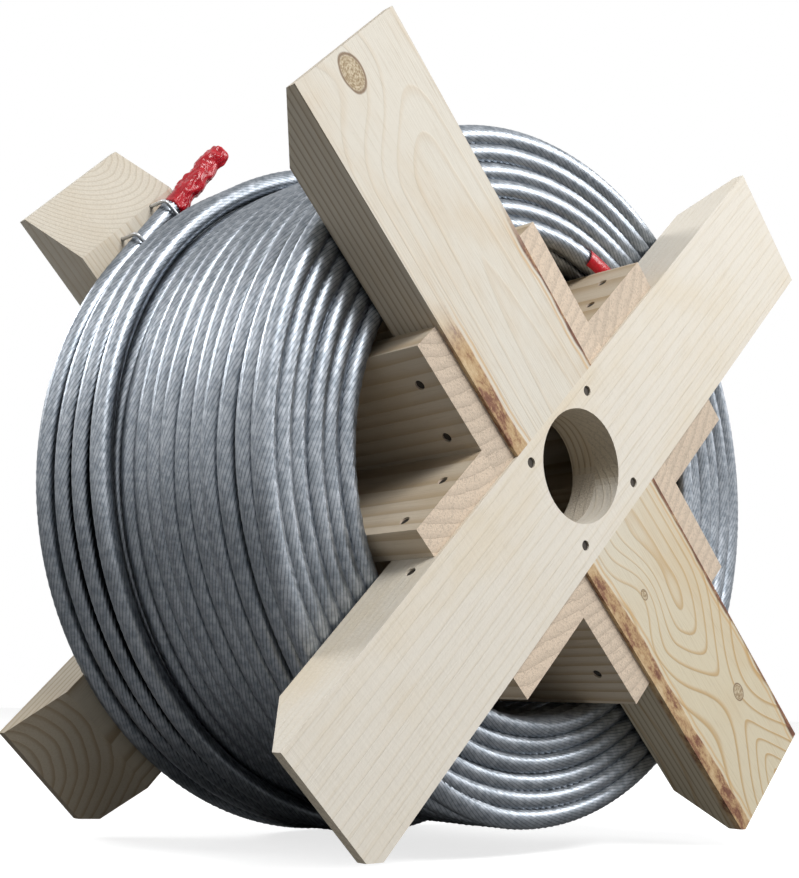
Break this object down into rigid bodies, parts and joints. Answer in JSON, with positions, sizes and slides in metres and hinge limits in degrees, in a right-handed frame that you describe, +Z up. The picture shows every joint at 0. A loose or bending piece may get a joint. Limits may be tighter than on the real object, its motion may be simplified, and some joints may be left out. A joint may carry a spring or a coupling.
{
  "type": "timber cross drum of guy wire",
  "caption": "Timber cross drum wound with stranded galvanised steel guy wire, with an axle bore through both crosses and core boards between the arms.",
  "frame": {"origin": "on the axle bore's axis, midway between the two crosses", "axes": "the bore runs along Y with the front cross at -Y, +Z is up and +X is to the right seen from the front"},
  "size_m": [0.5376, 0.333, 0.5478],
  "materials": {
    "beam_timber": "rough sawn, unfinished",
    "board_timber": "rough sawn, unfinished",
    "nail_steel": "dull, driven below the surface",
    "strand_steel": "galvanised, bright",
    "red_tape": "glossy, crinkled",
    "staple_steel": "bright"
  },
  "bodies": {
    "root": {"front_rising_beam": "beam_timber", "front_falling_beam": "beam_timber", "back_rising_beam": "beam_timber", "back_falling_beam": "beam_timber", "core_board_left_long": "board_timber", "core_board_left_short": "board_timber", "core_board_top_long": "board_timber", "core_board_top_short": "board_timber", "core_board_right_long": "board_timber", "core_board_right_short": "board_timber", "core_board_bottom_long": "board_timber", "core_board_bottom_short": "board_timber", "lap_nail_1": "nail_steel", "lap_nail_2": "nail_steel", "lap_nail_3": "nail_steel", "lap_nail_4": "nail_steel", "board_nail_1": "nail_steel", "board_nail_2": "nail_steel", "board_nail_3": "nail_steel", "board_nail_4": "nail_steel", "board_nail_5": "nail_steel", "board_nail_6": "nail_steel", "board_nail_7": "nail_steel", "side_nail": "nail_steel", "wire_winding": "strand_steel", "wire_outer_end": "strand_steel", "outer_end_tape": "red_tape", "inner_end_tape": "red_tape", "tail_staple_one": "staple_steel", "tail_staple_two": "staple_steel"}
  },
  "joints": []
}
